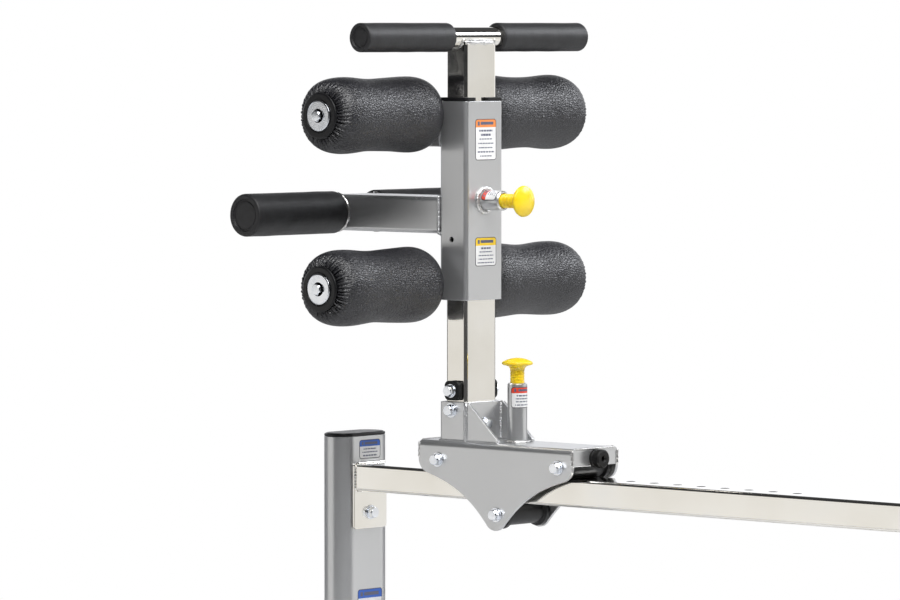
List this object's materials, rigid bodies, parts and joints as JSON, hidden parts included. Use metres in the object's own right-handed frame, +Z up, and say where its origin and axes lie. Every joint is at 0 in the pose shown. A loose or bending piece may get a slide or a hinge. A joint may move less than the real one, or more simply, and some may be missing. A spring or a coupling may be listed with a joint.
{
  "type": "roman chair",
  "caption": "Roman chair with hip pads, a rail-mounted rolling carriage, and a height-adjustable foot hold with foam rollers, a foot bar and spring pins.",
  "frame": {"origin": "on the floor, under the middle of the machine's bounding box", "axes": "+X from the foot bar towards the hip pads along the rail, +Y the machine's left side, +Z up"},
  "size_m": [1.5212, 0.6326, 1.2],
  "materials": {
    "silver_paint": "satin silver powder coat",
    "nickel": "satin nickel plating",
    "zinc": "bright zinc plating",
    "black_vinyl": "grained upholstery vinyl over foam",
    "black_foam": "closed-cell foam grip",
    "black_plastic": "moulded, lightly textured",
    "black_rubber": "moulded rubber",
    "yellow_plastic": "moulded, semi-gloss",
    "plywood": "plain birch plywood"
  },
  "bodies": {
    "floor_frame": {"rear_foot": "silver_paint", "rear_foot_cap_left": "black_plastic", "rear_foot_cap_right": "black_plastic", "front_foot": "silver_paint", "front_foot_cap_left": "black_plastic", "front_foot_cap_right": "black_plastic", "floor_beam": "silver_paint", "rear_post": "silver_paint", "front_post": "silver_paint", "rear_post_cap": "black_plastic", "slide_rail": "nickel", "rail_bolt_rear": "zinc", "rail_bolt_front": "zinc", "pad_mount": "silver_paint", "pad_board": "plywood", "hip_pad_left": "black_vinyl", "hip_pad_right": "black_vinyl"},
    "carriage": {"carriage_shell": "silver_paint", "axle_bolt_rear": "zinc", "axle_bolt_front": "zinc", "axle_bolt_lower": "zinc", "carriage_bumper_front": "black_rubber", "carriage_bumper_rear": "black_rubber", "upright_socket": "silver_paint", "upright_post": "nickel", "socket_side_bolt": "zinc", "socket_front_bolt": "zinc", "stop_bumper_left": "black_rubber", "stop_bumper_right": "black_rubber", "stop_bumper_bolt": "zinc", "top_handle_bar": "nickel", "top_grip_left": "black_foam", "top_grip_right": "black_foam", "carriage_pin_barrel": "silver_paint"},
    "track_roller_rear": {"track_roller_rear": "black_plastic"},
    "track_roller_front": {"track_roller_front": "black_plastic"},
    "track_roller_lower": {"track_roller_lower": "black_plastic"},
    "carriage_pin": {"carriage_pin": "yellow_plastic"},
    "sleeve": {"sleeve": "silver_paint", "sleeve_bush_top": "black_plastic", "sleeve_bush_bottom": "black_plastic", "foot_bar": "silver_paint", "foot_grip_left": "black_foam", "foot_grip_right": "black_foam", "roller_axle_upper": "zinc", "roller_axle_lower": "zinc", "roller_retainer_upper_left": "zinc", "roller_retainer_upper_right": "zinc", "roller_retainer_lower_left": "zinc", "roller_retainer_lower_right": "zinc", "sleeve_pin_barrel": "silver_paint"},
    "sleeve_pin": {"sleeve_pin": "yellow_plastic"},
    "roller_upper_left": {"roller_pad_upper_left": "black_vinyl", "roller_hub_upper_left": "black_plastic"},
    "roller_upper_right": {"roller_pad_upper_right": "black_vinyl", "roller_hub_upper_right": "black_plastic"},
    "roller_lower_left": {"roller_pad_lower_left": "black_vinyl", "roller_hub_lower_left": "black_plastic"},
    "roller_lower_right": {"roller_pad_lower_right": "black_vinyl", "roller_hub_lower_right": "black_plastic"}
  },
  "joints": [
    {"name": "carriage_slide", "type": "slide", "parent": "floor_frame", "child": "carriage", "axis": [1, 0, 0], "range_m": [-0.08255, 0.41275]},
    {"name": "sleeve_slide", "type": "slide", "parent": "carriage", "child": "sleeve", "axis": [0, 0, 1], "range_m": [-0.0762, 0.0381]},
    {"name": "carriage_pin_pull", "type": "slide", "parent": "carriage", "child": "carriage_pin", "axis": [0, 0, 1], "range_m": [0, 0.012], "stiffness_N_per_m": 900, "springref_m": -0.012},
    {"name": "sleeve_pin_pull", "type": "slide", "parent": "sleeve", "child": "sleeve_pin", "axis": [1, 0, 0], "range_m": [0, 0.012], "stiffness_N_per_m": 900, "springref_m": -0.012},
    {"name": "track_roller_rear_spin", "type": "hinge", "parent": "carriage", "child": "track_roller_rear", "pos_m": [-0.519, 0, 0.59618], "axis": [0, 1, 0], "continuous": true},
    {"name": "track_roller_front_spin", "type": "hinge", "parent": "carriage", "child": "track_roller_front", "pos_m": [-0.298, 0, 0.59618], "axis": [0, 1, 0], "continuous": true},
    {"name": "track_roller_lower_spin", "type": "hinge", "parent": "carriage", "child": "track_roller_lower", "pos_m": [-0.41, 0, 0.52572], "axis": [0, 1, 0], "continuous": true},
    {"name": "roller_upper_left_spin", "type": "hinge", "parent": "sleeve", "child": "roller_upper_left", "pos_m": [-0.5466, 0, 1.074], "axis": [0, 1, 0], "continuous": true},
    {"name": "roller_upper_right_spin", "type": "hinge", "parent": "sleeve", "child": "roller_upper_right", "pos_m": [-0.5466, 0, 1.074], "axis": [0, 1, 0], "continuous": true},
    {"name": "roller_lower_left_spin", "type": "hinge", "parent": "sleeve", "child": "roller_lower_left", "pos_m": [-0.5466, 0, 0.8385], "axis": [0, 1, 0], "continuous": true},
    {"name": "roller_lower_right_spin", "type": "hinge", "parent": "sleeve", "child": "roller_lower_right", "pos_m": [-0.5466, 0, 0.8385], "axis": [0, 1, 0], "continuous": true}
  ]
}
